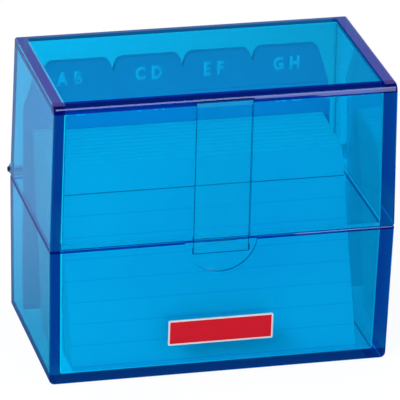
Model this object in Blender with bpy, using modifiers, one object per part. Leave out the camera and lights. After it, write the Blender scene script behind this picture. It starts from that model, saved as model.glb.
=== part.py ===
"""Index card box: a clear moulded case in two halves, hinged at the back and closed by a
tongue at the front, with a leaning stack of ruled cards and a set of tabbed dividers inside.

Metres, +Z up, +Y to the back, +X to the right. The origin is the middle of the underside.
The case is worked out from its contents: the cards set its width, the cards and dividers its
depth, and the dividers with their headroom its height.
"""

import math

import bmesh
import bpy
from mathutils import Matrix, Vector

# Ruled cards
CARD_WIDTH = 0.105
CARD_HEIGHT = 0.074
CARD_THICKNESS = 0.000225
CARDS_IN_PACK = 10
PACK_COUNT = 10
PACK_GAP = 0.0002
FRONT_LEAN_DEG = 22.9
FAN_STEP_DEG = 0.6
STACK_SIDE_SHIFT = -0.0006

# Dividers
DIVIDER_NAMES = ("ab", "cd", "ef", "gh", "ij", "kl", "mn", "op", "qr", "st", "uv", "wz")
TABS_ACROSS = 4
DIVIDER_THICKNESS = 0.0002
DIVIDER_GAP = 0.0001
DIVIDER_LEAN_DEG = 2.5
DIVIDER_OVERHANG = 0.00275
DIVIDER_HEIGHT = 0.0785
DIVIDER_CORNER = 0.002
TAB_HEIGHT = 0.01435
TAB_WIDTH = 0.032
TAB_SLANT = 0.0046
TAB_CORNER = 0.003
TAB_RISE = 0.0001

# Case
FLOOR_WALL = 0.0028
TOP_WALL = 0.004
SIDE_WALL = 0.0044
FRONT_WALL = 0.0049
BACK_WALL = 0.0025
SIDE_PLAY = 0.00277
FOOT_MARGIN = 0.0003
BACK_PLAY = 0.00045
HEADROOM = 0.00705
BASE_HEIGHT = 0.053
SEAM_GAP = 0.0003
SEAT_GAP = 0.0003
BASE_DRAFT_DEG = 0.85
LID_DRAFT_DEG = 1.0
EDGE_RADIUS = 0.0008
LID_FRONT_RADIUS = 0.003
BASE_SIDE_RADIUS = 0.002
INNER_FILLET = 0.0008
BASE_RIM_ROUND = 0.0005
LID_RIM_ROUND = 0.0002

# Hinges
HINGE_STANDOFF = 0.003
HINGE_RISE = 0.00065
HINGE_INSET = 0.0004
KNUCKLE_RADIUS = 0.0015
OUTER_KNUCKLE = 0.0038
MIDDLE_KNUCKLE = 0.005
INNER_KNUCKLE = 0.0038
KNUCKLE_GAP = 0.0003
EAR_HEIGHT = 0.0036
EAR_DROP = 0.0018
EAR_SETBACK = 0.0009
EAR_ROOT = 0.0012
PIN_RADIUS = 0.0006
PIN_CLEARANCE = 0.00008
PIN_HEAD_RADIUS = 0.001
PIN_HEAD_LENGTH = 0.0005
PIN_CHAMFER = 0.0002
PIN_OVERHANG = 0.0004

# Latch tongue, its pocket in the lid and its thumb recess in the base
LATCH_SHIFT = -0.0009
TONGUE_WIDTH = 0.0203
TONGUE_THICKNESS = 0.00055
TONGUE_SETBACK = 0.0001
TONGUE_DROP = 0.0023
TONGUE_OVERHANG = 0.0055
SLIT = 0.00035
ROOT_HEIGHT = 0.0011
ROOT_DEPTH = 0.0014
BEAD_HEIGHT = 0.0024
BEAD_DEPTH = 0.0001
BEAD_SETBACK = 0.00003
BEAD_MARGIN = 0.0003
BEAD_ROUND = 0.0005
RECESS_MARGIN = 0.0014
RECESS_RISE = 0.0004
CATCH_WIDTH = 0.012
CATCH_HEIGHT = 0.0008
CATCH_DROP = 0.0012
CATCH_SWING_GAP = 0.0001

# Front label
LABEL_WIDTH = 0.0387
LABEL_HEIGHT = 0.0098
LABEL_LIFT = 0.0122
LABEL_THICKNESS = 0.0003
LABEL_GAP = 0.0001
LABEL_CORNER = 0.0006

# Facets
EDGE_SEGMENTS = 4
SOFT_SEGMENTS = 9
RIM_SEGMENTS = 2
FILLET_SEGMENTS = 3
ROUND_STEPS = 24
RECESS_STEPS = 64
CORNER_STEPS = 4
CUT_OVERRUN = 0.002
WELD = 0.000001
SMOOTH_ANGLE_DEG = 35.0
CORNER_ANGLE_DEG = 60.0

# Worked out from the sizes above
BASE_DRAFT = math.radians(BASE_DRAFT_DEG)
LID_DRAFT = math.radians(LID_DRAFT_DEG)
DIVIDER_LEAN = math.radians(DIVIDER_LEAN_DEG)
FOOT_Z = FLOOR_WALL + SEAT_GAP
DIVIDER_TOP = DIVIDER_HEIGHT + TAB_HEIGHT + TAB_RISE * (TABS_ACROSS - 1)
HEIGHT = FOOT_Z + DIVIDER_TOP * math.cos(DIVIDER_LEAN) + HEADROOM + TOP_WALL
LID_HEIGHT = HEIGHT - BASE_HEIGHT
BASE_INSET = BASE_HEIGHT * math.tan(BASE_DRAFT)
LID_INSET = LID_HEIGHT * math.tan(LID_DRAFT)
DIVIDER_WIDTH = CARD_WIDTH + 2 * DIVIDER_OVERHANG
WIDTH = DIVIDER_WIDTH + 2 * (SIDE_PLAY + SIDE_WALL + BASE_INSET)
DIVIDER_PITCH = DIVIDER_THICKNESS + DIVIDER_GAP
PACK_THICKNESS = CARD_THICKNESS * CARDS_IN_PACK


def stack_layout():
    """Each pack's foot behind the front foot, its lean and its width along the floor."""
    layout = []
    foot = 0.0
    for index in range(PACK_COUNT):
        lean = math.radians(FRONT_LEAN_DEG - FAN_STEP_DEG * index)
        next_lean = math.radians(FRONT_LEAN_DEG - FAN_STEP_DEG * (index + 1))
        run = PACK_THICKNESS / math.cos(lean)
        layout.append((foot, lean, run))
        spread = CARD_HEIGHT * (math.sin(lean) - math.cos(lean) * math.tan(next_lean))
        foot += run + PACK_GAP + spread
    return layout


def divider_offset():
    """The first divider's foot behind the front pack's foot: it lies against the last pack."""
    foot, lean, run = stack_layout()[-1]
    corner_y = foot + run + CARD_HEIGHT * math.sin(lean)
    corner_up = CARD_HEIGHT * math.cos(lean)
    return corner_y + PACK_GAP - corner_up * math.tan(DIVIDER_LEAN)


def contents_depth():
    """From the front pack's foot to the back of the last divider's tab."""
    pack_of_dividers = DIVIDER_PITCH * (len(DIVIDER_NAMES) - 1) + DIVIDER_THICKNESS
    return divider_offset() + pack_of_dividers + DIVIDER_TOP * math.sin(DIVIDER_LEAN)


DEPTH = contents_depth() + FOOT_MARGIN + BACK_PLAY + FRONT_WALL + BACK_WALL + BASE_INSET + LID_INSET
FRONT_FOOT_Y = -DEPTH / 2 + BASE_INSET + FRONT_WALL + FOOT_MARGIN
HOLLOW_MIDDLE_Y = (FRONT_WALL - BACK_WALL) / 2
HINGE_Y = DEPTH / 2 + HINGE_STANDOFF
HINGE_Z = BASE_HEIGHT + HINGE_RISE
HALF_SEAM = SEAM_GAP / 2
BORE_RADIUS = (PIN_RADIUS + PIN_CLEARANCE) / math.cos(math.pi / ROUND_STEPS)
LID_FACE_PLACE = Matrix.Translation((LATCH_SHIFT, -DEPTH / 2, BASE_HEIGHT))
LID_FACE = LID_FACE_PLACE @ Matrix.Rotation(-LID_DRAFT, 4, "X")
TONGUE_TOP = (LID_HEIGHT - TONGUE_DROP) / math.cos(LID_DRAFT)
TONGUE_BACK = TONGUE_SETBACK + TONGUE_THICKNESS
ROOT_BACK = TONGUE_BACK + ROOT_DEPTH
BEAD_WIDTH = TONGUE_WIDTH + 2 * BEAD_MARGIN
RECESS_DEPTH = TONGUE_BACK + BEAD_DEPTH + SEAT_GAP
RECESS_RADIUS = math.hypot(BEAD_WIDTH / 2, TONGUE_OVERHANG + RECESS_RISE) + RECESS_MARGIN


def clear_scene():
    """Remove whatever the file holds."""
    for item in list(bpy.data.objects):
        bpy.data.objects.remove(item, do_unlink=True)


def make_collection(name):
    """A new collection in the scene."""
    collection = bpy.data.collections.new(name)
    bpy.context.scene.collection.children.link(collection)
    return collection


def make_material(name, color, roughness, metallic=0.0, transmission=0.0):
    """One Principled material."""
    material = bpy.data.materials.new(name)
    material.use_nodes = True
    shader = material.node_tree.nodes["Principled BSDF"]
    shader.inputs["Base Color"].default_value = (*color, 1.0)
    shader.inputs["Roughness"].default_value = roughness
    shader.inputs["Metallic"].default_value = metallic
    shader.inputs["Transmission Weight"].default_value = transmission
    material.diffuse_color = (*color, 1.0)
    return material


def object_from(bm, name, collection, material=None, origin=(0.0, 0.0, 0.0)):
    """Turn a mesh in world places into an object whose origin is the given point."""
    bmesh.ops.recalc_face_normals(bm, faces=bm.faces)
    if bm.calc_volume(signed=True) < 0:
        bmesh.ops.reverse_faces(bm, faces=bm.faces)
    bmesh.ops.translate(bm, verts=bm.verts, vec=-Vector(origin))
    mesh = bpy.data.meshes.new(name)
    bm.to_mesh(mesh)
    bm.free()
    item = bpy.data.objects.new(name, mesh)
    item.location = origin
    collection.objects.link(item)
    if material:
        mesh.materials.append(material)
    return item


def mark_smooth(item):
    """Smooth the round faces and keep the real edges."""
    item.data.shade_smooth()
    item.data.set_sharp_from_angle(angle=math.radians(SMOOTH_ANGLE_DEG))


def box_mesh(low, high, matrix=None):
    """A box between two corners, placed by a matrix."""
    bm = bmesh.new()
    bmesh.ops.create_cube(bm, size=1.0)
    low, high = Vector(low), Vector(high)
    size = high - low
    bmesh.ops.scale(bm, verts=bm.verts, vec=size)
    bmesh.ops.translate(bm, verts=bm.verts, vec=(low + high) / 2)
    if matrix:
        bm.transform(matrix)
    return bm


def tapered_mesh(half_low, half_high, z_low, z_high):
    """A box whose plan changes from its low end to its high end."""
    bm = bmesh.new()
    bmesh.ops.create_cube(bm, size=1.0)
    for vert in bm.verts:
        upper = vert.co.z > 0
        half = half_high if upper else half_low
        vert.co.x = math.copysign(half[0], vert.co.x)
        vert.co.y = math.copysign(half[1], vert.co.y)
        vert.co.z = z_high if upper else z_low
    return bm


def round_edges(bm, keep, radius, segments):
    """Bevel the edges that keep() picks."""
    edges = [edge for edge in bm.edges if keep(edge)]
    bmesh.ops.bevel(bm, geom=edges, offset=radius, segments=segments, profile=0.5, affect="EDGES")


def as_cutter(item):
    """Show a tool only as a wire."""
    item.hide_render = True
    item.display_type = "WIRE"
    return item


def apply_tool(target, tool, operation):
    """Join or cut with a closed tool."""
    modifier = target.modifiers.new(tool.name, "BOOLEAN")
    modifier.operation = operation
    modifier.object = tool
    modifier.solver = "EXACT"


def edge_is_level(edge, z):
    """True for an edge that lies all at one height."""
    return all(abs(vert.co.z - z) < WELD for vert in edge.verts)


def shell_meshes(rim_z, end_z, end_inset, end_wall, rim_round, is_soft, soft_radius):
    """The outside and the inside of one half, which narrows from its rim to its closed end.

    is_soft() picks the closed end's edges that have the larger radius.
    """
    rim_half = Vector((WIDTH / 2, DEPTH / 2))
    end_half = rim_half - Vector((end_inset, end_inset))
    upward = end_z > rim_z
    step = 1 if upward else -1
    rise = abs(end_z - rim_z)
    slope = end_inset / rise
    walls = Vector((SIDE_WALL, (FRONT_WALL + BACK_WALL) / 2))
    inner_end_z = end_z - step * end_wall
    inner_end = end_half + Vector((end_wall, end_wall)) * slope - walls
    inner_rim_z = rim_z - step * CUT_OVERRUN
    inner_rim = rim_half + Vector((CUT_OVERRUN, CUT_OVERRUN)) * slope - walls
    if upward:
        outer = tapered_mesh(rim_half, end_half, rim_z, end_z)
        inner = tapered_mesh(inner_rim, inner_end, inner_rim_z, inner_end_z)
    else:
        outer = tapered_mesh(end_half, rim_half, end_z, rim_z)
        inner = tapered_mesh(inner_end, inner_rim, inner_end_z, inner_rim_z)
    bmesh.ops.translate(inner, verts=inner.verts, vec=(0.0, HOLLOW_MIDDLE_Y, 0.0))
    round_edges(outer, lambda edge: edge_is_level(edge, end_z) and is_soft(edge), soft_radius, SOFT_SEGMENTS)
    round_edges(outer, lambda edge: is_corner_edge(edge, rim_z), EDGE_RADIUS, EDGE_SEGMENTS)
    round_edges(outer, lambda edge: is_rim_edge(edge, rim_z), rim_round, RIM_SEGMENTS)
    round_edges(inner, lambda edge: not edge_is_level(edge, inner_rim_z), INNER_FILLET, FILLET_SEGMENTS)
    return outer, inner


def is_corner_edge(edge, rim_z):
    """True for a square edge that is not on the rim's flat face."""
    return not edge_is_level(edge, rim_z) and edge.calc_face_angle() > math.radians(CORNER_ANGLE_DEG)


def is_side_edge(edge):
    """True for an edge that runs from front to back."""
    first, second = edge.verts
    return abs(first.co.x - second.co.x) < WELD


def is_front_edge(edge):
    """True for an edge that runs across the front."""
    first, second = edge.verts
    return abs(first.co.y - second.co.y) < WELD and first.co.y < 0


def is_rim_edge(edge, z):
    """True for an edge between the rim's flat face and a side."""
    return edge_is_level(edge, z) and len(edge.link_faces) == 2


def is_front_of(edge, y):
    """True for an edge that lies wholly in front of a depth."""
    return all(vert.co.y < y - WELD for vert in edge.verts)


def cylinder_along_x(x_low, x_high, radius, steps, y, z):
    """A cylinder that lies along X."""
    bm = bmesh.new()
    turn = Matrix.Rotation(math.radians(90.0), 4, "Y")
    place = Matrix.Translation(((x_low + x_high) / 2, y, z)) @ turn
    bmesh.ops.create_cone(
        bm,
        cap_ends=True,
        segments=steps,
        radius1=radius,
        radius2=radius,
        depth=x_high - x_low,
        matrix=place,
    )
    return bm


def hinge_ear(x_low, x_high, root_low, root_high, root_face):
    """A knuckle drawn into a gusset that is rooted in the back wall."""
    bm = cylinder_along_x(x_low, x_high, KNUCKLE_RADIUS, ROUND_STEPS, HINGE_Y, HINGE_Z)
    root = box_mesh((x_low, root_face - EAR_ROOT, root_low), (x_high, root_face, root_high))
    root_shape = bpy.data.meshes.new("ear_root")
    root.to_mesh(root_shape)
    root.free()
    bm.from_mesh(root_shape)
    bpy.data.meshes.remove(root_shape)
    hull = bmesh.ops.convex_hull(bm, input=bm.verts)
    spare = {item for key in ("geom_interior", "geom_unused") for item in hull[key]}
    spare_verts = [item for item in spare if isinstance(item, bmesh.types.BMVert)]
    bmesh.ops.delete(bm, geom=spare_verts, context="VERTS")
    old_faces = [face for face in bm.faces if face not in hull["geom"]]
    bmesh.ops.delete(bm, geom=old_faces, context="FACES_ONLY")
    return bm


def knuckle_spans():
    """The three knuckles of the left hinge, from the side face inwards, and the pin's ends."""
    outer_low = -WIDTH / 2 + HINGE_INSET
    outer = (outer_low, outer_low + OUTER_KNUCKLE)
    middle_low = outer[1] + KNUCKLE_GAP
    middle = (middle_low, middle_low + MIDDLE_KNUCKLE)
    inner_low = middle[1] + KNUCKLE_GAP
    inner = (inner_low, inner_low + INNER_KNUCKLE)
    return outer, middle, inner


def on_side(span, side):
    """A span of the left hinge, or its mirror image at the right."""
    if side < 0:
        return span
    return (-span[1], -span[0])


def add_ears(shell, spans, root_low, root_high, root_face, tools):
    """Join hinge ears to a shell and drill them."""
    for side in (-1, 1):
        for span in spans:
            x_low, x_high = on_side(span, side)
            ear = hinge_ear(x_low, x_high, root_low, root_high, root_face)
            apply_tool(shell, as_cutter(object_from(ear, shell.name + "_ear", tools)), "UNION")
    for side in (-1, 1):
        outer, _, inner = knuckle_spans()
        x_low, x_high = on_side((outer[0] - CUT_OVERRUN, inner[1] + CUT_OVERRUN), side)
        bore = cylinder_along_x(x_low, x_high, BORE_RADIUS, ROUND_STEPS, HINGE_Y, HINGE_Z)
        apply_tool(shell, as_cutter(object_from(bore, shell.name + "_bore", tools)), "DIFFERENCE")


def make_base(parts, tools, material):
    """The lower half: tray, hinge ears, thumb recess and catch rib."""
    rim = BASE_HEIGHT - HALF_SEAM
    rounding = (BASE_RIM_ROUND, is_side_edge, BASE_SIDE_RADIUS)
    outer, inner = shell_meshes(rim, 0.0, BASE_INSET, FLOOR_WALL, *rounding)
    base = object_from(outer, "base_shell", parts, material)
    apply_tool(base, as_cutter(object_from(inner, "base_inside", tools)), "DIFFERENCE")
    _, middle, _ = knuckle_spans()
    ear_top = BASE_HEIGHT - EAR_DROP
    add_ears(base, (middle,), ear_top - EAR_HEIGHT, ear_top, DEPTH / 2 - EAR_SETBACK, tools)
    recess = bmesh.new()
    turn = Matrix.Rotation(math.radians(90.0), 4, "X")
    recess_z = BASE_HEIGHT + RECESS_RISE
    middle_y = -DEPTH / 2 + (RECESS_DEPTH - CUT_OVERRUN) / 2
    bmesh.ops.create_cone(
        recess,
        cap_ends=True,
        segments=RECESS_STEPS,
        radius1=RECESS_RADIUS,
        radius2=RECESS_RADIUS,
        depth=RECESS_DEPTH + CUT_OVERRUN,
        matrix=Matrix.Translation((LATCH_SHIFT, middle_y, recess_z)) @ turn,
    )
    apply_tool(base, as_cutter(object_from(recess, "thumb_recess", tools)), "DIFFERENCE")
    floor_y = -DEPTH / 2 + RECESS_DEPTH
    rib_top = BASE_HEIGHT - CATCH_DROP
    rib_front = floor_y - (SEAT_GAP - CATCH_SWING_GAP)
    rib = box_mesh(
        (LATCH_SHIFT - CATCH_WIDTH / 2, rib_front, rib_top - CATCH_HEIGHT),
        (LATCH_SHIFT + CATCH_WIDTH / 2, floor_y + CATCH_HEIGHT, rib_top),
    )
    apply_tool(base, as_cutter(object_from(rib, "catch_rib", tools)), "UNION")
    mark_smooth(base)
    return base


def make_lid(parts, tools, material):
    """The upper half: cover, hinge ears and the pocket that holds the tongue."""
    rim = BASE_HEIGHT + HALF_SEAM
    rounding = (LID_RIM_ROUND, is_front_edge, LID_FRONT_RADIUS)
    outer, inner = shell_meshes(rim, HEIGHT, LID_INSET, TOP_WALL, *rounding)
    lid = object_from(outer, "lid_shell", parts, material, (0.0, HINGE_Y, HINGE_Z))
    apply_tool(lid, as_cutter(object_from(inner, "lid_inside", tools)), "DIFFERENCE")
    outer_span, _, inner_span = knuckle_spans()
    ear_low = BASE_HEIGHT + EAR_DROP
    ear_face = DEPTH / 2 - EAR_SETBACK
    add_ears(lid, (outer_span, inner_span), ear_low, ear_low + EAR_HEIGHT, ear_face, tools)
    half = TONGUE_WIDTH / 2 + SLIT
    pocket_top = TONGUE_TOP + SEAT_GAP
    pocket_back = TONGUE_BACK + SEAT_GAP
    pocket = box_mesh((-half, -CUT_OVERRUN, -CUT_OVERRUN), (half, pocket_back, pocket_top), LID_FACE)
    apply_tool(lid, as_cutter(object_from(pocket, "tongue_pocket", tools)), "DIFFERENCE")
    socket = box_mesh(
        (-half, -CUT_OVERRUN, TONGUE_TOP - ROOT_HEIGHT - SEAT_GAP),
        (half, ROOT_BACK + SEAT_GAP, pocket_top),
        LID_FACE,
    )
    apply_tool(lid, as_cutter(object_from(socket, "tongue_socket", tools)), "DIFFERENCE")
    mark_smooth(lid)
    return lid


def make_tongue(parts, tools, material):
    """The springy strip: a root block in the lid, a thin strip, and a bead below the seam."""
    half = TONGUE_WIDTH / 2
    tip = -TONGUE_OVERHANG
    root_middle = (TONGUE_SETBACK + ROOT_BACK) / 2
    origin = LID_FACE @ Vector((0.0, root_middle, TONGUE_TOP - ROOT_HEIGHT / 2))
    strip = box_mesh((-half, TONGUE_SETBACK, tip), (half, TONGUE_BACK, TONGUE_TOP), LID_FACE)
    tongue = object_from(strip, "latch_tongue", parts, material, origin)
    strip_middle = (TONGUE_SETBACK + TONGUE_BACK) / 2
    root = box_mesh(
        (-half, strip_middle, TONGUE_TOP - ROOT_HEIGHT),
        (half, ROOT_BACK, TONGUE_TOP),
        LID_FACE,
    )
    apply_tool(tongue, as_cutter(object_from(root, "tongue_root", tools)), "UNION")
    bead_half = BEAD_WIDTH / 2
    bead_back = TONGUE_BACK + BEAD_DEPTH
    bead = box_mesh((-bead_half, BEAD_SETBACK, tip), (bead_half, bead_back, tip + BEAD_HEIGHT))
    round_edges(
        bead,
        lambda edge: edge_is_level(edge, tip) and is_front_of(edge, bead_back),
        BEAD_ROUND,
        RIM_SEGMENTS,
    )
    bead.transform(LID_FACE)
    apply_tool(tongue, as_cutter(object_from(bead, "tongue_bead", tools)), "UNION")
    return tongue


def make_pin(name, side, parts, material):
    """A headed pin, turned about Z and laid along X with its head outwards."""
    outer, _, inner = knuckle_spans()
    head_face = WIDTH / 2 - HINGE_INSET + KNUCKLE_GAP / 2
    tip = -inner[1] - PIN_OVERHANG
    shaft = head_face - tip
    profile = (
        (0.0, PIN_HEAD_LENGTH),
        (PIN_HEAD_RADIUS - PIN_CHAMFER, PIN_HEAD_LENGTH),
        (PIN_HEAD_RADIUS, PIN_HEAD_LENGTH - PIN_CHAMFER),
        (PIN_HEAD_RADIUS, 0.0),
        (PIN_RADIUS, 0.0),
        (PIN_RADIUS, PIN_CHAMFER - shaft),
        (PIN_RADIUS - PIN_CHAMFER, -shaft),
        (0.0, -shaft),
    )
    mesh = bpy.data.meshes.new(name)
    points = [(radius, 0.0, along) for radius, along in profile]
    mesh.from_pydata(points, [(index, index + 1) for index in range(len(points) - 1)], [])
    mesh.materials.append(material)
    pin = bpy.data.objects.new(name, mesh)
    pin.location = (side * head_face, HINGE_Y, HINGE_Z)
    pin.rotation_euler = (0.0, side * math.radians(90.0), 0.0)
    parts.objects.link(pin)
    screw = pin.modifiers.new("turn", "SCREW")
    screw.steps = ROUND_STEPS
    screw.render_steps = ROUND_STEPS
    screw.use_merge_vertices = True
    screw.merge_threshold = WELD
    return pin


def make_pack(index, parts, material):
    """A pack of cards that leans back, each card with its lower edge on the floor."""
    foot, lean, run = stack_layout()[index]
    foot_y = FRONT_FOOT_Y + foot
    bm = bmesh.new()
    bmesh.ops.create_cube(bm, size=1.0)
    for vert in bm.verts:
        back = run if vert.co.y > 0 else 0.0
        up = CARD_HEIGHT if vert.co.z > 0 else 0.0
        side = math.copysign(CARD_WIDTH / 2, vert.co.x)
        vert.co.x = STACK_SIDE_SHIFT + side
        vert.co.y = foot_y + back + up * math.sin(lean)
        vert.co.z = FOOT_Z + up * math.cos(lean)
    name = "card_pack_%02d" % (index + 1)
    return object_from(bm, name, parts, material, (STACK_SIDE_SHIFT, foot_y, FOOT_Z))


def rounded_outline(corners):
    """The points of an outline whose corners (x, z, radius) are rounded."""
    points = []
    count = len(corners)
    for index, (x, z, radius) in enumerate(corners):
        here = Vector((x, z))
        before = Vector(corners[index - 1][:2]) - here
        after = Vector(corners[(index + 1) % count][:2]) - here
        before.normalize()
        after.normalize()
        if radius == 0:
            points.append(here)
            continue
        half_angle = before.angle(after) / 2
        middle = here + (before + after).normalized() * (radius / math.sin(half_angle))
        reach = radius / math.tan(half_angle)
        start = here + before * reach - middle
        end = here + after * reach - middle
        sweep = start.angle_signed(end)
        for step in range(CORNER_STEPS + 1):
            turn = -sweep * step / CORNER_STEPS
            points.append(middle + Matrix.Rotation(turn, 2) @ start)
    return points


def divider_outline(column):
    """A sheet with one tab, whose place across the sheet steps along with the column."""
    half = DIVIDER_WIDTH / 2
    left = -half + (DIVIDER_WIDTH - TAB_WIDTH) * column / (TABS_ACROSS - 1)
    right = left + TAB_WIDTH
    top = DIVIDER_HEIGHT + TAB_HEIGHT + TAB_RISE * column
    corners = [(-half, 0.0, 0.0), (half, 0.0, 0.0)]
    if column < TABS_ACROSS - 1:
        corners.append((half, DIVIDER_HEIGHT, DIVIDER_CORNER))
    corners.append((right, DIVIDER_HEIGHT, 0.0))
    corners.append((right - TAB_SLANT, top, TAB_CORNER))
    corners.append((left + TAB_SLANT, top, TAB_CORNER))
    corners.append((left, DIVIDER_HEIGHT, 0.0))
    if column > 0:
        corners.append((-half, DIVIDER_HEIGHT, DIVIDER_CORNER))
    return rounded_outline(corners)


def sheet_mesh(name, outline, thickness, parts):
    """A flat sheet in the XY plane, with half its thickness on each side of it."""
    curve = bpy.data.curves.new(name + "_outline", "CURVE")
    curve.dimensions = "2D"
    curve.fill_mode = "BOTH"
    curve.extrude = thickness / 2
    spline = curve.splines.new("POLY")
    spline.points.add(len(outline) - 1)
    for point, place in zip(spline.points, outline):
        point.co = (place.x, place.y, 0.0, 1.0)
    spline.use_cyclic_u = True
    sheet = bpy.data.objects.new(name + "_outline", curve)
    parts.objects.link(sheet)
    bpy.context.view_layer.update()
    shown = sheet.evaluated_get(bpy.context.evaluated_depsgraph_get())
    flat = bpy.data.meshes.new_from_object(shown)
    bm = bmesh.new()
    bm.from_mesh(flat)
    bpy.data.objects.remove(sheet, do_unlink=True)
    bpy.data.meshes.remove(flat)
    bmesh.ops.remove_doubles(bm, verts=bm.verts, dist=WELD)
    return bm


def make_divider(index, parts, material):
    """One thin tabbed sheet behind the cards, leaning on the back of the case."""
    name = "divider_" + DIVIDER_NAMES[index]
    bm = sheet_mesh(name, divider_outline(index % TABS_ACROSS), DIVIDER_THICKNESS, parts)
    foot_y = FRONT_FOOT_Y + divider_offset() + DIVIDER_PITCH * index
    stand = Matrix.Rotation(math.radians(90.0) - DIVIDER_LEAN, 4, "X")
    forward = Matrix.Translation((0.0, 0.0, -DIVIDER_THICKNESS / 2))
    origin = Vector((STACK_SIDE_SHIFT, foot_y, FOOT_Z))
    bm.transform(Matrix.Translation(origin) @ stand @ forward)
    return object_from(bm, name, parts, material, origin)


def make_label(parts, material):
    """The plain label on the front of the base, parallel to the face that it is stuck to."""
    foot = Matrix.Translation((0.0, -DEPTH / 2 + BASE_INSET, 0.0))
    front = foot @ Matrix.Rotation(BASE_DRAFT, 4, "X")
    half = LABEL_WIDTH / 2
    corners = [
        (-half, LABEL_LIFT, LABEL_CORNER),
        (half, LABEL_LIFT, LABEL_CORNER),
        (half, LABEL_LIFT + LABEL_HEIGHT, LABEL_CORNER),
        (-half, LABEL_LIFT + LABEL_HEIGHT, LABEL_CORNER),
    ]
    bm = sheet_mesh("front_label", rounded_outline(corners), LABEL_THICKNESS, parts)
    stand = Matrix.Rotation(math.radians(90.0), 4, "X")
    forward = Matrix.Translation((0.0, 0.0, LABEL_GAP + LABEL_THICKNESS / 2))
    bm.transform(front @ stand @ forward)
    return object_from(bm, "front_label", parts, material)


def main():
    """Build every piece."""
    clear_scene()
    parts = make_collection("index_card_box")
    tools = make_collection("cutters")
    clear_blue = make_material("clear_blue_plastic", (0.0, 0.36, 0.80), 0.08, transmission=0.9)
    paper = make_material("ruled_card", (0.92, 0.93, 0.93), 0.85)
    film = make_material("divider_film", (0.35, 0.58, 0.72), 0.45)
    steel = make_material("pin_steel", (0.55, 0.56, 0.58), 0.3, metallic=1.0)
    red = make_material("label_red", (0.80, 0.01, 0.03), 0.4)
    make_base(parts, tools, clear_blue)
    make_lid(parts, tools, clear_blue)
    make_tongue(parts, tools, clear_blue)
    make_pin("hinge_pin_left", -1, parts, steel)
    make_pin("hinge_pin_right", 1, parts, steel)
    make_label(parts, red)
    for index in range(PACK_COUNT):
        make_pack(index, parts, paper)
    for index in range(len(DIVIDER_NAMES)):
        make_divider(index, parts, film)
    bpy.context.view_layer.update()


main()
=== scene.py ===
"""Looks of the index card box: tinted clear plastic, ruled cards, lettered dividers, label and
pins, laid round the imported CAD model. Metres, same frame as the CAD: the front faces -Y.
"""
import math
import random

import bmesh
import bpy
from mathutils import Matrix, Vector


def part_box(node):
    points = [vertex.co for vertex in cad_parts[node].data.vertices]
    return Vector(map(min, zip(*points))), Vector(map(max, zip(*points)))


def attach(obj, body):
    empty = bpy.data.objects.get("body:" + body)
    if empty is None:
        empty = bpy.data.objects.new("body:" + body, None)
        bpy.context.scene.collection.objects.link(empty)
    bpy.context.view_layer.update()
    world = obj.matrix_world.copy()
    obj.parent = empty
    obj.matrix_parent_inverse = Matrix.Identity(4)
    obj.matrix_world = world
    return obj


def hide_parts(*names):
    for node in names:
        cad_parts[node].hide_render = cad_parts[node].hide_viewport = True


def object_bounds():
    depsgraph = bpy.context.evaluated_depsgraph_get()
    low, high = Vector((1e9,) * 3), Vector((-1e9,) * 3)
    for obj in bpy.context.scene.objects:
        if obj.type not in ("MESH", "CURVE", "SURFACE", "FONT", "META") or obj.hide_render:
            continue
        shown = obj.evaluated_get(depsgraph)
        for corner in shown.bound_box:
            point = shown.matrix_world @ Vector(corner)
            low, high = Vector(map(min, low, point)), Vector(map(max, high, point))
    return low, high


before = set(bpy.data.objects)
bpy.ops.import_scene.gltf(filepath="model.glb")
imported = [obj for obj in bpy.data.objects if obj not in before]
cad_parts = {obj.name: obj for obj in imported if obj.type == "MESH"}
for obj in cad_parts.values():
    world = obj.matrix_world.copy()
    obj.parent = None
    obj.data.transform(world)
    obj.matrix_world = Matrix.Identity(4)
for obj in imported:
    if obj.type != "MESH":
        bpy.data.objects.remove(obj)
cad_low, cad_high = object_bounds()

# Camera of the photograph
CAMERA_PLACE = (-0.358698, -1.375659, 0.674860)
CAMERA_YAW_DEG = -14.611
CAMERA_PITCH_DEG = 23.636
CAMERA_ROLL_DEG = 1.740
FOCAL_PIXELS = 4282.1
PICTURE_PIXELS = 400
SENSOR_MM = 36.0
CAMERA_NEAR = 0.1
CAMERA_FAR = 20.0

# Ruled cards, as in the CAD
CARD_WIDTH = 0.105
CARD_HEIGHT = 0.074
CARDS_IN_PACK = 10
PACK_COUNT = 10
CARD_FILL = 0.92
CARD_CORNER = 0.0006
CARD_CORNER_STEPS = 3
CARD_DROP = 0.0002
CARD_SIDE_SLIP = 0.00025
CARD_SLIP_SEED = 7
HEADER_DROP = 0.0109
LINE_PITCH = 0.0077
HEADER_LINE = 0.00034
RULED_LINE = 0.00032

# Dividers, as in the CAD
DIVIDER_LEAN_DEG = 2.5
LETTER_HEIGHT = 0.0054
LETTER_LIFT = 0.0837
LETTER_SQUEEZE = 0.82
LETTER_PROUD = 0.00005
LETTER_ROOT = 0.00008
LETTER_WEIGHT = 0.05
LETTER_CURVE_STEPS = 3
LETTER_PLACES = {
    "ab": (-0.0457, -0.0398),
    "cd": (-0.0166, -0.0104),
    "ef": (0.0085, 0.0135),
    "gh": (0.0354, 0.0416),
    "ij": (-0.0420, -0.0370),
    "kl": (-0.0160, -0.0105),
    "mn": (0.0098, 0.0158),
    "op": (0.0362, 0.0420),
    "qr": (-0.0425, -0.0368),
    "st": (-0.0158, -0.0105),
    "uv": (0.0100, 0.0156),
    "wz": (0.0358, 0.0420),
}

# Case and tongue, as in the CAD
SIDE_WALL = 0.0044
BACK_WALL = 0.0025
LID_INSET = 0.00095
LID_DRAFT_DEG = 1.0
TONGUE_WIDTH = 0.0203
TONGUE_SETBACK = 0.0001
LATCH_SHIFT = -0.0009

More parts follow.
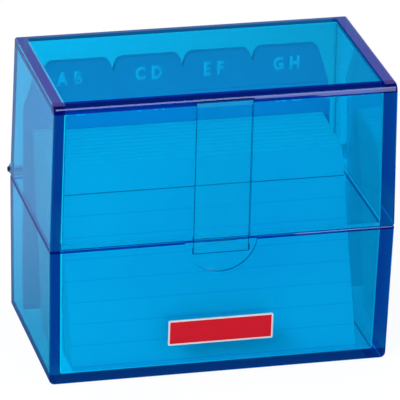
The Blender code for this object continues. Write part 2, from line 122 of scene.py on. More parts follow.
# Painted shade and painted reflection that the plastic's material draws by place: dark lines where refraction
# darkens the rounding, seam, foot and tongue, and a violet sheen on the lid's top
PAINTED_REFLECTION_DEPTH = 0.0003
ROUNDING_HEIGHT = 0.0030
ROUNDING_DEPTH = 0.0042
SEAM_LINE = 0.00045
FOOT_LOW = 0.0003
FOOT_HIGH = 0.0041
FOOT_DEPTH = 0.0016
FOOT_STRENGTH = 0.88
TONGUE_LINE = 0.00020
TONGUE_LINE_STRENGTH = 0.8

# Pale strip at the tongue's root, painted light where the tongue's top looks lighter
PAINTED_LIGHT_HEIGHT = 0.0015
PAINTED_LIGHT_PROUD = 0.00003
PAINTED_LIGHT_ROOT = 0.00005

# Label, as in the CAD
LABEL_WIDTH = 0.0387
LABEL_HEIGHT = 0.0098
LABEL_BORDER = 0.0006

# Blue plastic
PLASTIC_IOR = 1.59
CASE_TINT = (0.004, 0.77, 1.0, 1.0)
# Painted light: the inner glows are fixed colours for rays that turn inside the plastic more than once
CASE_INNER_GLOW = (0.02, 0.165, 0.33, 1.0)
TONGUE_TINT = (0.02, 0.95, 1.0, 1.0)
TONGUE_INNER_GLOW = (0.02, 0.08, 0.32, 1.0)
# Painted shade for the plastic's dark edges, then the painted violet reflection on the lid's top and its
# blank
PAINTED_SHADE_NAVY = (0.002, 0.006, 0.25, 1.0)
PAINTED_REFLECTION_VIOLET = (0.070, 0.045, 0.105, 1.0)
NO_PAINTED_REFLECTION = (0.0, 0.0, 0.0, 1.0)
SHADOW_TINT = (0.03, 0.87, 1.0, 1.0)
DYE_COLOR = (0.0, 0.945, 0.995, 1.0)
DYE_DENSITY = 300.0
MOST_INNER_TURNS = 1.5

# Colours of the other finishes
CARD_WHITE = (0.90, 0.905, 0.90, 1.0)
RULE_BLUE = (0.57, 0.69, 0.82, 1.0)
HEAD_LINE_RED = (0.52, 0.22, 0.30, 1.0)
FILM_BLUE = (0.30, 0.52, 0.77, 1.0)
INK_DULL = (0.93, 0.94, 0.95, 1.0)
INK_BRIGHT = (1.0, 1.0, 1.0, 1.0)
# Painted light: a faint glow that lifts the white print
INK_PAINTED_GLOW = (0.0, 0.06, 0.14, 1.0)
LABEL_RED = (0.83, 0.003, 0.022, 1.0)
LABEL_WHITE = (0.90, 0.90, 0.90, 1.0)
# Painted shade: the pin's steel is darkened to look as dark as its shaded end
STEEL_DARK = (0.05, 0.05, 0.055, 1.0)
STEEL_BRIGHT = (0.20, 0.20, 0.22, 1.0)
# Painted light: the pale blue of the strip at the tongue's root
PAINTED_LIGHT_BLUE = (0.008, 0.36, 0.80, 1.0)
LEAST_TONE = 0.8
MOST_TONE = 1.2

# Floor and light
FLOOR_SIZE = 6.0
FLOOR_DROP = 0.00005
FLOOR_WHITE = (0.86, 0.86, 0.87, 1.0)
STUDIO_WHITE = (1.0, 1.0, 1.0, 1.0)
WORLD_LEVEL = 0.35
GLOSS_LEVEL = 0.02
# Painted reflection: the floor's tone in reflections, dark in front of the case and brighter and bluer behind
# it
FLOOR_GLOSS = 0.42
FLOOR_GLOSS_TINT = (0.75, 0.88, 1.45)
FLOOR_GLOSS_NEAR = (0.02, 0.02, 0.02, 1.0)
FLOOR_GLOSS_START = -0.05
FLOOR_GLOSS_END = 0.12
FLOOR_GLOW = 0.85
FLOOR_GLOW_STRENGTH = 1.06
# Painted shadow: the floor seen through the case is darker to the right and towards the front, and a darker
# blue-grey
FLOOR_SHADE_SLOPE = (-3.0, 0.75, 0.0)
FLOOR_SHADE_START = -0.39
FLOOR_SHADE_END = 0.17
FLOOR_SEEN_LEAST = 0.16
FLOOR_SEEN_MOST = 1.0
FLOOR_PAINTED_SHADE_BLUE = (0.50, 0.52, 0.62, 1.0)
BACKDROP_RISE = 0.20
BACKDROP_TOP = 0.35
BACKDROP_START = -0.7
BACKDROP_FULL = 0.8
BACKDROP_GLOSS = 0.6

# Lamps: place, point to look at, size, watts, and whether only reflections show them
LIGHT_LAMP_COLOR = (1.0, 1.0, 1.0)
MIRRORED_LAMP_COLOR = (0.80, 0.88, 1.0)
CASE_MIDDLE = (0.0, 0.0, 0.05)
LID_EDGE = (0.0, -0.03, 0.106)
SOFTBOXES = {
    "top_softbox": ((-0.1, 0.0, 1.2), CASE_MIDDLE, (0.9, 0.9), 5.2, False),
    "front_softbox": ((-1.0, -0.9, 1.0), CASE_MIDDLE, (0.8, 0.6), 10.9, False),
    "edge_softbox": ((0.15, -0.50, 0.60), LID_EDGE, (0.50, 0.16), 1.2, True),
    "side_softbox": ((0.30, -0.66, 0.30), LID_EDGE, (0.20, 0.36), 0.7, True),
}


def mesh_object(name, bm, material):
    """A new object in the scene from a mesh in world places."""
    bmesh.ops.recalc_face_normals(bm, faces=bm.faces)
    mesh = bpy.data.meshes.new(name)
    bm.to_mesh(mesh)
    bm.free()
    mesh.materials.append(material)
    item = bpy.data.objects.new(name, mesh)
    bpy.context.scene.collection.objects.link(item)
    return item


def new_material(name):
    """A material with an empty node tree and its output."""
    material = bpy.data.materials.new(name)
    material.use_nodes = True
    tree = material.node_tree
    tree.nodes.clear()
    return material, tree, tree.nodes.new("ShaderNodeOutputMaterial")


def set_inputs(node, **values):
    """Set sockets by name, with _ for a space."""
    for name, value in values.items():
        node.inputs[name.replace("_", " ")].default_value = value


def opaque_material(name, **values):
    """A material with one Principled shader that has these plain values."""
    material, tree, output = new_material(name)
    shader = tree.nodes.new("ShaderNodeBsdfPrincipled")
    set_inputs(shader, **values)
    tree.links.new(shader.outputs["BSDF"], output.inputs["Surface"])
    return material, tree, shader


def point_axes(tree, kind="Object"):
    """Where a point lies on its object, or in its box for Generated: the outputs X, Y and Z."""
    places = tree.nodes.new("ShaderNodeTexCoord")
    split = tree.nodes.new("ShaderNodeSeparateXYZ")
    tree.links.new(places.outputs[kind], split.inputs["Vector"])
    return split.outputs


def map_range(tree, value, **limits):
    """A value carried over from one range to another, 0 to 1 unless given."""
    node = tree.nodes.new("ShaderNodeMapRange")
    set_inputs(node, **limits)
    tree.links.new(value, node.inputs["Value"])
    return node.outputs["Result"]


def object_noise(group, scale, **values):
    """A noise laid by the object's own places, at the scale of a group's input."""
    places = group.nodes.new("ShaderNodeTexCoord")
    noise = group.nodes.new("ShaderNodeTexNoise")
    set_inputs(noise, **values)
    group.links.new(places.outputs["Object"], noise.inputs["Vector"])
    group.links.new(scale, noise.inputs["Scale"])
    return noise.outputs["Fac"]


def math_node(tree, operation, first, second=None):
    """A Math node fed by sockets or plain numbers, and its output."""
    node = tree.nodes.new("ShaderNodeMath")
    node.operation = operation
    for socket, value in zip(node.inputs, (first, second)):
        if isinstance(value, bpy.types.NodeSocket):
            tree.links.new(value, socket)
        elif value is not None:
            socket.default_value = value
    return node.outputs[0]


def mix_color(tree, factor, first, second):
    """A colour between two colours, each a socket or a plain colour."""
    node = tree.nodes.new("ShaderNodeMix")
    node.data_type = "RGBA"
    for key, value in (("Factor_Float", factor), ("A_Color", first), ("B_Color", second)):
        socket = next(s for s in node.inputs if s.identifier == key)
        if isinstance(value, bpy.types.NodeSocket):
            tree.links.new(value, socket)
        else:
            socket.default_value = value
    return next(s for s in node.outputs if s.identifier == "Result_Color")


def mix_shader(tree, factor, first, second):
    """One shader where the factor is 0 and another where it is 1."""
    node = tree.nodes.new("ShaderNodeMixShader")
    tree.links.new(factor, node.inputs["Fac"])
    tree.links.new(first, node.inputs[1])
    tree.links.new(second, node.inputs[2])
    return node.outputs["Shader"]


def group_with(name, inputs, outputs):
    """An empty shader node group with float inputs and float outputs."""
    group = bpy.data.node_groups.new(name, "ShaderNodeTree")
    for label, value in inputs.items():
        socket = group.interface.new_socket(name=label, in_out="INPUT", socket_type="NodeSocketFloat")
        socket.default_value = value
    for label in outputs:
        group.interface.new_socket(name=label, in_out="OUTPUT", socket_type="NodeSocketFloat")
    return group, group.nodes.new("NodeGroupInput"), group.nodes.new("NodeGroupOutput")


def place_group(tree, group, **values):
    """Put a group in a material with this material's own values."""
    node = tree.nodes.new("ShaderNodeGroup")
    node.node_tree = group
    set_inputs(node, **values)
    return node


def handling_wear_group():
    """Smudges and fine scuffs from handling: a roughness and a height over the surface."""
    group, given, result = group_with(
        "handling_wear",
        {"Smudges per Metre": 40.0, "Least Roughness": 0.1, "Most Roughness": 0.3, "Scuffs per Metre": 900.0},
        ("Roughness", "Height"),
    )
    smudges = object_noise(group, given.outputs["Smudges per Metre"], Detail=4.0, Roughness=0.6)
    spread = group.nodes.new("ShaderNodeMapRange")
    set_inputs(spread, From_Min=0.35, From_Max=0.7)
    group.links.new(smudges, spread.inputs["Value"])
    group.links.new(given.outputs["Least Roughness"], spread.inputs["To Min"])
    group.links.new(given.outputs["Most Roughness"], spread.inputs["To Max"])
    group.links.new(spread.outputs["Result"], result.inputs["Roughness"])
    scuffs = object_noise(group, given.outputs["Scuffs per Metre"], Detail=3.0, Roughness=0.5)
    group.links.new(scuffs, result.inputs["Height"])
    return group


def fibre_grain_group():
    """Paper or film grain: a tone near 1 and a height over the surface."""
    group, given, result = group_with(
        "fibre_grain",
        {"Fibres per Metre": 2500.0, "Clouds per Metre": 60.0, "Tone Change": 0.05},
        ("Tone", "Height"),
    )
    fibres = object_noise(
        group, given.outputs["Fibres per Metre"], Detail=5.0, Roughness=0.65, Distortion=0.8
    )
    clouds = object_noise(group, given.outputs["Clouds per Metre"], Detail=2.0)
    both = math_node(group, "ADD", fibres, clouds)
    swing = math_node(group, "SUBTRACT", both, 1.0)
    change = math_node(group, "MULTIPLY", swing, given.outputs["Tone Change"])
    tone = math_node(group, "ADD", change, 1.0)
    group.links.new(tone, result.inputs["Tone"])
    group.links.new(fibres, result.inputs["Height"])
    return group


def link_bump(tree, height, shader, distance, strength):
    """Feed a height to a shader as bump."""
    bump = tree.nodes.new("ShaderNodeBump")
    set_inputs(bump, Strength=strength, Distance=distance)
    tree.links.new(height, bump.inputs["Height"])
    tree.links.new(bump.outputs["Normal"], shader.inputs["Normal"])


def tone_color(tree, tone, color):
    """A plain colour times a tone that varies over the surface."""
    dark = tuple(value * LEAST_TONE for value in color[:3]) + (1.0,)
    bright = tuple(min(1.0, value * MOST_TONE) for value in color[:3]) + (1.0,)
    spread = map_range(tree, tone, From_Min=LEAST_TONE, From_Max=MOST_TONE)
    return mix_color(tree, spread, dark, bright)


def painted_edge_reflection(tree):
    """Painted reflection: the pale violet glow of the lid's sides and back, seen end-on from above."""
    low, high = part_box("lid_shell")
    at = point_axes(tree)
    from_middle = math_node(tree, "ABSOLUTE", at["X"])
    on_side = math_node(tree, "GREATER_THAN", from_middle, high.x - LID_INSET - SIDE_WALL)
    on_back = math_node(tree, "GREATER_THAN", at["Y"], -low.y - LID_INSET - BACK_WALL)
    on_top = math_node(tree, "GREATER_THAN", at["Z"], high.z - PAINTED_REFLECTION_DEPTH)
    on_edge = math_node(tree, "MULTIPLY", math_node(tree, "MAXIMUM", on_side, on_back), on_top)
    return mix_color(tree, on_edge, NO_PAINTED_REFLECTION, PAINTED_REFLECTION_VIOLET)


def case_painted_shade(tree):
    """Painted shade: where the case is drawn dark, at the lid's front rounding, the seam and the front of the
    floor.
    """
    low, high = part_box("lid_shell")
    at = point_axes(tree)
    high_up = math_node(tree, "GREATER_THAN", at["Z"], high.z - ROUNDING_HEIGHT)
    at_front = math_node(tree, "LESS_THAN", at["Y"], low.y + LID_INSET + ROUNDING_DEPTH)
    on_rounding = math_node(tree, "MULTIPLY", high_up, at_front)
    from_seam = math_node(tree, "ABSOLUTE", math_node(tree, "SUBTRACT", at["Z"], low.z))
    on_seam = math_node(tree, "LESS_THAN", from_seam, SEAM_LINE)
    above = math_node(tree, "GREATER_THAN", at["Z"], FOOT_LOW)
    below = math_node(tree, "LESS_THAN", at["Z"], FOOT_HIGH)
    outside = math_node(tree, "LESS_THAN", at["Y"], low.y + FOOT_DEPTH)
    on_foot = math_node(tree, "MULTIPLY", math_node(tree, "MULTIPLY", above, below), outside)
    foot = math_node(tree, "MULTIPLY", on_foot, FOOT_STRENGTH)
    return math_node(tree, "MAXIMUM", math_node(tree, "MAXIMUM", on_rounding, on_seam), foot)


def tongue_painted_shade(tree):
    """Painted shade: 1 along the tongue's two sides and its lower end, else 0, times the line's strength."""
    low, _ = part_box("latch_tongue")
    at = point_axes(tree)
    from_middle = math_node(tree, "ABSOLUTE", math_node(tree, "SUBTRACT", at["X"], LATCH_SHIFT))
    on_side = math_node(tree, "GREATER_THAN", from_middle, TONGUE_WIDTH / 2 - TONGUE_LINE)
    on_end = math_node(tree, "LESS_THAN", at["Z"], low.z + TONGUE_LINE)
    on_edge = math_node(tree, "MAXIMUM", on_side, on_end)
    return math_node(tree, "MULTIPLY", on_edge, TONGUE_LINE_STRENGTH)


def clear_blue_plastic(name, wear, tint, inner_glow, edges):
    """Polished tinted polystyrene: clear, with painted shade along its masked edges and a painted navy glow
    where light turns inside it more than once, darker the longer light runs inside.
    """
    material, tree, output = new_material(name)
    glass = tree.nodes.new("ShaderNodeBsdfPrincipled")
    set_inputs(glass, IOR=PLASTIC_IOR, Transmission_Weight=1.0, Emission_Strength=1.0)
    # Painted shade: the base colour turns navy on the masked edges, where refraction darkens the plastic
    tree.links.new(mix_color(tree, edges(tree), tint, PAINTED_SHADE_NAVY), glass.inputs["Base Color"])
    # Painted reflection: a pale violet glow on the lid's top over its sides and back
    tree.links.new(painted_edge_reflection(tree), glass.inputs["Emission Color"])
    marks = place_group(
        tree, wear, Smudges_per_Metre=35.0, Least_Roughness=0.012, Most_Roughness=0.035, Scuffs_per_Metre=70.0
    )
    tree.links.new(marks.outputs["Roughness"], glass.inputs["Roughness"])
    link_bump(tree, marks.outputs["Height"], glass, distance=0.00004, strength=0.35)
    open_glass = tree.nodes.new("ShaderNodeBsdfTransparent")
    set_inputs(open_glass, Color=SHADOW_TINT)
    # Painted light: a ray that has turned inside the plastic more than once stops on a fixed navy glow
    painted_trapped_light = tree.nodes.new("ShaderNodeEmission")
    set_inputs(painted_trapped_light, Color=inner_glow, Strength=1.0)
    path = tree.nodes.new("ShaderNodeLightPath")
    side = tree.nodes.new("ShaderNodeNewGeometry")
    turned = math_node(tree, "GREATER_THAN", path.outputs["Glossy Depth"], MOST_INNER_TURNS)
    inside = math_node(tree, "MULTIPLY", turned, side.outputs["Backfacing"])
    body = mix_shader(tree, inside, glass.outputs["BSDF"], painted_trapped_light.outputs["Emission"])
    whole = mix_shader(tree, path.outputs["Is Shadow Ray"], body, open_glass.outputs["BSDF"])
    tree.links.new(whole, output.inputs["Surface"])
    dye = tree.nodes.new("ShaderNodeVolumeAbsorption")
    set_inputs(dye, Color=DYE_COLOR, Density=DYE_DENSITY)
    tree.links.new(dye.outputs["Volume"], output.inputs["Volume"])
    return material


def ruled_card_stock(grain):
    """White card with a red head line and light blue lines, drawn by the card's own map."""
    material, tree, shader = opaque_material("ruled_card_stock", Roughness=0.8)
    sheet = tree.nodes.new("ShaderNodeUVMap")
    sheet.uv_map = "card_sheet"
    split = tree.nodes.new("ShaderNodeSeparateXYZ")
    tree.links.new(sheet.outputs["UV"], split.inputs["Vector"])
    below_top = math_node(tree, "SUBTRACT", 1.0, split.outputs["Y"])
    drop = math_node(tree, "MULTIPLY", below_top, CARD_HEIGHT)
    from_head = math_node(tree, "SUBTRACT", drop, HEADER_DROP)
    off_head = math_node(tree, "ABSOLUTE", from_head)
    on_head = math_node(tree, "LESS_THAN", off_head, HEADER_LINE / 2)
    rows = math_node(tree, "DIVIDE", from_head, LINE_PITCH)
    off_row = math_node(tree, "ABSOLUTE", math_node(tree, "SUBTRACT", rows, math_node(tree, "ROUND", rows)))
    near_row = math_node(tree, "LESS_THAN", off_row, RULED_LINE / 2 / LINE_PITCH)
    below_head = math_node(tree, "GREATER_THAN", rows, 0.5)
    on_row = math_node(tree, "MULTIPLY", near_row, below_head)
    fibre = place_group(tree, grain, Fibres_per_Metre=2600.0, Clouds_per_Metre=45.0, Tone_Change=0.08)
    paper = tone_color(tree, fibre.outputs["Tone"], CARD_WHITE)
    lined = mix_color(tree, on_row, paper, RULE_BLUE)
    headed = mix_color(tree, on_head, lined, HEAD_LINE_RED)
    tree.links.new(headed, shader.inputs["Base Color"])
    link_bump(tree, fibre.outputs["Height"], shader, distance=0.00003, strength=0.5)
    return material


def divider_film(grain):
    """Blue-grey plastic sheet with a fine matt grain."""
    material, tree, shader = opaque_material("divider_film", Roughness=0.45)
    fibre = place_group(tree, grain, Fibres_per_Metre=3500.0, Clouds_per_Metre=30.0, Tone_Change=0.10)
    film = tone_color(tree, fibre.outputs["Tone"], FILM_BLUE)
    tree.links.new(film, shader.inputs["Base Color"])
    link_bump(tree, fibre.outputs["Height"], shader, distance=0.00003, strength=0.6)
    return material


def white_print(grain):
    """White printing ink, a little uneven, with a faint painted glow that lifts it."""
    material, tree, shader = opaque_material(
        "white_print", Roughness=0.6, Emission_Color=INK_PAINTED_GLOW, Emission_Strength=1.0
    )
    fibre = place_group(tree, grain, Fibres_per_Metre=4000.0, Clouds_per_Metre=200.0, Tone_Change=0.12)
    ink = mix_color(tree, fibre.outputs["Height"], INK_DULL, INK_BRIGHT)
    tree.links.new(ink, shader.inputs["Base Color"])
    return material


def label_paper(wear, grain):
    """Coated label: red, with a white border that its own box measures out."""
    material, tree, shader = opaque_material(
        "label_paper", Coat_Weight=0.1, Coat_Roughness=0.15, Specular_IOR_Level=0.25
    )
    at = point_axes(tree, "Generated")
    inside = []
    for axis, size in (("X", LABEL_WIDTH), ("Z", LABEL_HEIGHT)):
        from_middle = math_node(tree, "ABSOLUTE", math_node(tree, "SUBTRACT", at[axis], 0.5))
        inside.append(math_node(tree, "LESS_THAN", from_middle, 0.5 - LABEL_BORDER / size))
    on_red = math_node(tree, "MULTIPLY", inside[0], inside[1])
    fibre = place_group(tree, grain, Fibres_per_Metre=3000.0, Clouds_per_Metre=90.0, Tone_Change=0.06)
    red = tone_color(tree, fibre.outputs["Tone"], LABEL_RED)
    tree.links.new(mix_color(tree, on_red, LABEL_WHITE, red), shader.inputs["Base Color"])
    marks = place_group(
        tree, wear, Smudges_per_Metre=120.0, Least_Roughness=0.3, Most_Roughness=0.45, Scuffs_per_Metre=1500.0
    )
    tree.links.new(marks.outputs["Roughness"], shader.inputs["Roughness"])
    link_bump(tree, marks.outputs["Height"], shader, distance=0.00002, strength=0.4)
    return material


def pin_steel(wear):
    """Drawn steel wire, its colour darkened as painted shade, with light tarnish."""
    material, tree, shader = opaque_material("pin_steel", Metallic=1.0)
    marks = place_group(
        tree, wear, Smudges_per_Metre=700.0, Least_Roughness=0.2, Most_Roughness=0.45, Scuffs_per_Metre=4000.0
    )
    shade = mix_color(tree, marks.outputs["Height"], STEEL_DARK, STEEL_BRIGHT)
    tree.links.new(shade, shader.inputs["Base Color"])
    tree.links.new(marks.outputs["Roughness"], shader.inputs["Roughness"])
    link_bump(tree, marks.outputs["Height"], shader, distance=0.00002, strength=0.5)
    return material


def dress(node_name, material):
    """Give a CAD node its material."""
    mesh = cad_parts[node_name].data
    if not mesh.materials:
        mesh.materials.append(material)
    for index in range(len(mesh.materials)):
        mesh.materials[index] = material


def card_profile(height):
    """The corners of one card, going round, as (across, up)."""
    points = []
    half = CARD_WIDTH / 2
    for side_x, side_z, first in ((-1, 0, 180), (1, 0, 270), (1, 1, 0), (-1, 1, 90)):
        middle_x = side_x * (half - CARD_CORNER)
        middle_z = height - CARD_CORNER if side_z else CARD_CORNER
        for step in range(CARD_CORNER_STEPS + 1):
            turn = math.radians(first + 90.0 * step / CARD_CORNER_STEPS)
            points.append((middle_x + CARD_CORNER * math.cos(turn), middle_z + CARD_CORNER * math.sin(turn)))
    return points


def add_card(bm, sheet_map, place, lean, depth, height):
    """One card with its lower front edge at a place, leaning back, with its map for the ruling."""
    rings = []
    for back in (0.0, depth):
        ring = []
        for across, up in card_profile(height):
            point = Vector((across, back + up * math.sin(lean), up * math.cos(lean))) + place
            ring.append(bm.verts.new(point))
        rings.append(ring)
    top_drop = CARD_HEIGHT - height
    faces = [bm.faces.new(rings[0]), bm.faces.new(list(reversed(rings[1])))]
    for face in faces:
        for loop in face.loops:
            up = (loop.vert.co.z - place.z) / math.cos(lean)
            along = (loop.vert.co.x - place.x) / CARD_WIDTH + 0.5
            loop[sheet_map].uv = (along, (up + top_drop) / CARD_HEIGHT)
    count = len(rings[0])
    for index in range(count):
        following = (index + 1) % count
        side = (rings[0][index], rings[1][index], rings[1][following], rings[0][following])
        for loop in bm.faces.new(side).loops:
            loop[sheet_map].uv = (0.0, 0.0)


def make_cards(number, material, chance):
    """The loose cards of one pack, each a little out of line with the next."""
    node_name = "card_pack_%02d" % number
    low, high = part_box(node_name)
    lean = math.acos((high.z - low.z) / CARD_HEIGHT)
    pitch = (high.y - low.y - CARD_HEIGHT * math.sin(lean)) / CARDS_IN_PACK
    bm = bmesh.new()
    sheet_map = bm.loops.layers.uv.new("card_sheet")
    for index in range(CARDS_IN_PACK):
        first = number == 1 and index == 0
        slip = 0.0 if first else chance.uniform(-CARD_SIDE_SLIP, CARD_SIDE_SLIP)
        drop = 0.0 if first else chance.uniform(0.0, CARD_DROP)
        place = Vector(((low.x + high.x) / 2 + slip, low.y + pitch * index, low.z))
        add_card(bm, sheet_map, place, lean, pitch * CARD_FILL, CARD_HEIGHT - drop)
    cards = mesh_object("cards_%02d" % number, bm, material)
    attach(cards, node_name)
    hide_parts(node_name)


def glyph_mesh(letter):
    """One letter as a thin solid, its lower edge on y=0 and its middle on x=0."""
    curve = bpy.data.curves.new("glyph", "FONT")
    curve.body = letter
    curve.offset = LETTER_WEIGHT
    curve.resolution_u = LETTER_CURVE_STEPS
    text = bpy.data.objects.new("glyph", curve)
    bpy.context.scene.collection.objects.link(text)
    bpy.context.view_layer.update()
    flat = bpy.data.meshes.new_from_object(text.evaluated_get(bpy.context.evaluated_depsgraph_get()))
    bpy.data.objects.remove(text, do_unlink=True)
    bpy.data.curves.remove(curve)
    bm = bmesh.new()
    bm.from_mesh(flat)
    bpy.data.meshes.remove(flat)
    low_x, high_x = min(v.co.x for v in bm.verts), max(v.co.x for v in bm.verts)
    low_y, high_y = min(v.co.y for v in bm.verts), max(v.co.y for v in bm.verts)
    size = LETTER_HEIGHT / (high_y - low_y)
    bmesh.ops.translate(bm, verts=bm.verts, vec=(-(low_x + high_x) / 2, -low_y, 0.0))
    bmesh.ops.scale(bm, verts=bm.verts, vec=(size * LETTER_SQUEEZE, size, 1.0))
    return bm


def lettering(name, letters, places, plane, material):
    """Letters laid on a plane whose X runs across and Y up, as one thin solid."""
    whole = bmesh.new()
    for letter, across in zip(letters, places):
        bm = glyph_mesh(letter)
        bmesh.ops.translate(bm, verts=bm.verts, vec=(across, LETTER_LIFT, -LETTER_ROOT))
        piece = bpy.data.meshes.new("glyph")
        bm.to_mesh(piece)
        bm.free()
        whole.from_mesh(piece)
        bpy.data.meshes.remove(piece)
    grown = bmesh.ops.extrude_face_region(whole, geom=list(whole.faces))
    moved = [item for item in grown["geom"] if isinstance(item, bmesh.types.BMVert)]
    bmesh.ops.translate(whole, verts=moved, vec=(0.0, 0.0, LETTER_ROOT + LETTER_PROUD))
    whole.transform(plane)
    return mesh_object(name, whole, material)


def make_index_letters(material):
    """The index letters printed on each divider's tab."""
    stand = Matrix.Rotation(math.radians(90.0 - DIVIDER_LEAN_DEG), 4, "X")
    for pair, places in LETTER_PLACES.items():
        node_name = "divider_" + pair
        low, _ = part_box(node_name)
        plane = Matrix.Translation((0.0, low.y, low.z)) @ stand
        letters = lettering("index_" + pair, pair.upper(), places, plane, material)
        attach(letters, node_name)


def painted_light_sheet(grain):
    """Painted light: a pale blue matt sheet where the tongue's top looks lighter."""
    material, tree, shader = opaque_material("painted_light_sheet", Roughness=0.55, Specular_IOR_Level=0.1)
    fibre = place_group(tree, grain, Fibres_per_Metre=3000.0, Clouds_per_Metre=150.0, Tone_Change=0.2)
    tone = tone_color(tree, fibre.outputs["Tone"], PAINTED_LIGHT_BLUE)
    tree.links.new(tone, shader.inputs["Base Color"])
    link_bump(tree, fibre.outputs["Height"], shader, distance=0.00002, strength=0.5)
    return material


def make_tongue_painted_light(material):
    """The pale strip of painted light across the top of the tongue, let into its face."""
    low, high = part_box("latch_tongue")
    seam_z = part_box("lid_shell")[0].z
    lean = math.tan(math.radians(LID_DRAFT_DEG))
    bm = bmesh.new()
    bmesh.ops.create_cube(bm, size=1.0)
    for vert in bm.verts:
        z = high.z - (0.0 if vert.co.z > 0 else PAINTED_LIGHT_HEIGHT)
        face_y = cad_low.y + TONGUE_SETBACK + (z - seam_z) * lean
        vert.co.y = face_y + (PAINTED_LIGHT_ROOT if vert.co.y > 0 else -PAINTED_LIGHT_PROUD)
        vert.co.x = LATCH_SHIFT + math.copysign(TONGUE_WIDTH / 2, vert.co.x)
        vert.co.z = z
    light_strip = mesh_object("tongue_root_painted_light", bm, material)
    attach(light_strip, "latch")


def make_floor():
    """A plain white floor that keeps a soft shadow, with a painted shadow where it is seen through the case
    and a painted reflection tone where reflections see it.
    """
    bm = bmesh.new()
    bmesh.ops.create_grid(bm, x_segments=1, y_segments=1, size=FLOOR_SIZE / 2)
    bmesh.ops.translate(bm, verts=bm.verts, vec=(0.0, 0.0, -FLOOR_DROP))
    material, tree, output = new_material("studio_floor")
    lit = tree.nodes.new("ShaderNodeBsdfDiffuse")
    glow = tree.nodes.new("ShaderNodeEmission")
    set_inputs(glow, Color=STUDIO_WHITE, Strength=FLOOR_GLOW_STRENGTH)
    path = tree.nodes.new("ShaderNodeLightPath")
    through = path.outputs["Is Transmission Ray"]
    mirrored = math_node(tree, "MULTIPLY", path.outputs["Is Glossy Ray"], path.outputs["Is Reflection Ray"])
    # Painted reflection: in reflections the floor is dark in front of the case and brighter and bluer behind
    # it
    fade = map_range(tree, point_axes(tree)["Y"], From_Min=FLOOR_GLOSS_START, From_Max=FLOOR_GLOSS_END)
    far_gloss = tuple(FLOOR_GLOSS * value for value in FLOOR_GLOSS_TINT) + (1.0,)
    painted_reflection_tone = mix_color(tree, fade, FLOOR_GLOSS_NEAR, far_gloss)
    # Painted shade: seen through the case the floor takes a darker blue-grey
    lit_tone = mix_color(tree, through, FLOOR_WHITE, FLOOR_PAINTED_SHADE_BLUE)
    tree.links.new(mix_color(tree, mirrored, lit_tone, painted_reflection_tone), lit.inputs["Color"])
    direct = math_node(tree, "MULTIPLY", path.outputs["Is Camera Ray"], FLOOR_GLOW)
    # Painted shadow: seen through the case the floor is darker to the right and towards the front
    places = tree.nodes.new("ShaderNodeTexCoord")
    uphill = tree.nodes.new("ShaderNodeVectorMath")
    uphill.operation = "DOT_PRODUCT"
    uphill.inputs[1].default_value = FLOOR_SHADE_SLOPE
    tree.links.new(places.outputs["Object"], uphill.inputs[0])
    painted_shadow = map_range(
        tree,
        uphill.outputs["Value"],
        From_Min=FLOOR_SHADE_START,
        From_Max=FLOOR_SHADE_END,
        To_Min=FLOOR_SEEN_LEAST,
        To_Max=FLOOR_SEEN_MOST,
    )
    share = math_node(tree, "MAXIMUM", direct, math_node(tree, "MULTIPLY", through, painted_shadow))
    floor = mix_shader(tree, share, lit.outputs["BSDF"], glow.outputs["Emission"])
    tree.links.new(floor, output.inputs["Surface"])
    mesh_object("floor", bm, material)


def make_world():
    """A white surround, dimmer as a light and as a reflection, with a soft backdrop for reflections."""
    world = bpy.data.worlds.new("studio")
    bpy.context.scene.world = world
    world.use_nodes = True
    tree = world.node_tree
    tree.nodes.clear()
    output = tree.nodes.new("ShaderNodeOutputWorld")
    background = tree.nodes.new("ShaderNodeBackground")
    set_inputs(background, Color=STUDIO_WHITE)
    path = tree.nodes.new("ShaderNodeLightPath")
    seen = math_node(tree, "MAXIMUM", path.outputs["Is Camera Ray"], path.outputs["Is Transmission Ray"])
    toward = point_axes(tree, "Generated")
    low_down = map_range(tree, toward["Z"], From_Min=BACKDROP_TOP, From_Max=BACKDROP_RISE)
    behind = map_range(tree, toward["Y"], From_Min=BACKDROP_START, From_Max=BACKDROP_FULL)
    standing = math_node(tree, "MULTIPLY", low_down, behind)
    backdrop = math_node(tree, "MULTIPLY", standing, BACKDROP_GLOSS)
    mirrored = math_node(tree, "ADD", backdrop, GLOSS_LEVEL)
    change = math_node(tree, "SUBTRACT", mirrored, WORLD_LEVEL)
    gloss = math_node(tree, "MULTIPLY", path.outputs["Is Glossy Ray"], change)
    other = math_node(tree, "ADD", gloss, WORLD_LEVEL)
    rest = math_node(tree, "MULTIPLY", math_node(tree, "SUBTRACT", 1.0, seen), other)
    tree.links.new(math_node(tree, "ADD", seen, rest), background.inputs["Strength"])
    tree.links.new(background.outputs["Background"], output.inputs["Surface"])


def add_softbox(name, place, target, size, power, mirrored):
    """An area lamp that looks at a point: it shows in reflections only, or lights matt surfaces only."""
    lamp = bpy.data.lights.new(name, "AREA")
    lamp.shape = "RECTANGLE"
    lamp.size, lamp.size_y = size
    lamp.energy = power
    lamp.color = MIRRORED_LAMP_COLOR if mirrored else LIGHT_LAMP_COLOR
    item = bpy.data.objects.new(name, lamp)
    item.location = place
    item.rotation_mode = "QUATERNION"
    item.rotation_quaternion = (Vector(target) - Vector(place)).to_track_quat("-Z", "Y")
    item.visible_glossy = mirrored
    item.visible_diffuse = not mirrored
    item.visible_transmission = False
    bpy.context.scene.collection.objects.link(item)


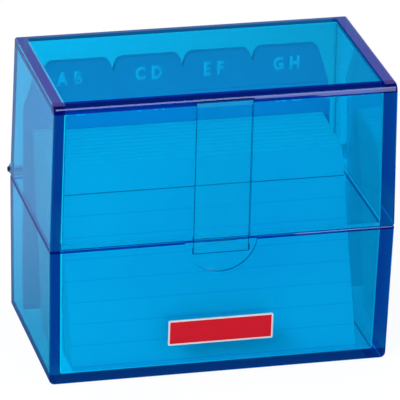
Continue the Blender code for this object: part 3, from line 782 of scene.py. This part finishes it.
def make_camera():
    """The photograph's camera, with its lens, place and tilt."""
    yaw, pitch, roll = (math.radians(a) for a in (CAMERA_YAW_DEG, CAMERA_PITCH_DEG, CAMERA_ROLL_DEG))
    turn = Matrix.Rotation(yaw, 3, "Z")
    look = turn @ Vector((0.0, math.cos(pitch), -math.sin(pitch)))
    level = turn @ Vector((1.0, 0.0, 0.0))
    upright = level.cross(look)
    right = level * math.cos(roll) + upright * math.sin(roll)
    up = upright * math.cos(roll) - level * math.sin(roll)
    lens = bpy.data.cameras.new("camera")
    lens.sensor_width = SENSOR_MM
    lens.lens = FOCAL_PIXELS * SENSOR_MM / PICTURE_PIXELS
    lens.clip_start = CAMERA_NEAR
    lens.clip_end = CAMERA_FAR
    camera = bpy.data.objects.new("camera", lens)
    axes = Matrix((right, up, -look)).transposed().to_4x4()
    camera.matrix_world = Matrix.Translation(CAMERA_PLACE) @ axes
    bpy.context.scene.collection.objects.link(camera)
    bpy.context.scene.camera = camera


def main():
    """Dress every node, make the new pieces, and set the studio."""
    make_camera()
    wear = handling_wear_group()
    grain = fibre_grain_group()
    plastic = clear_blue_plastic("clear_blue_plastic", wear, CASE_TINT, CASE_INNER_GLOW, case_painted_shade)
    thin_plastic = clear_blue_plastic(
        "thin_blue_plastic", wear, TONGUE_TINT, TONGUE_INNER_GLOW, tongue_painted_shade
    )
    card = ruled_card_stock(grain)
    film = divider_film(grain)
    ink = white_print(grain)
    label = label_paper(wear, grain)
    steel = pin_steel(wear)
    for node_name in ("base_shell", "lid_shell"):
        dress(node_name, plastic)
    dress("latch_tongue", thin_plastic)
    for node_name in ("hinge_pin_left", "hinge_pin_right"):
        dress(node_name, steel)
    dress("front_label", label)
    for pair in LETTER_PLACES:
        dress("divider_" + pair, film)
    chance = random.Random(CARD_SLIP_SEED)
    for number in range(1, PACK_COUNT + 1):
        make_cards(number, card, chance)
    make_index_letters(ink)
    make_tongue_painted_light(painted_light_sheet(grain))
    make_floor()
    make_world()
    for name, values in SOFTBOXES.items():
        add_softbox(name, *values)
    bpy.context.scene.view_settings.view_transform = "Standard"


main()
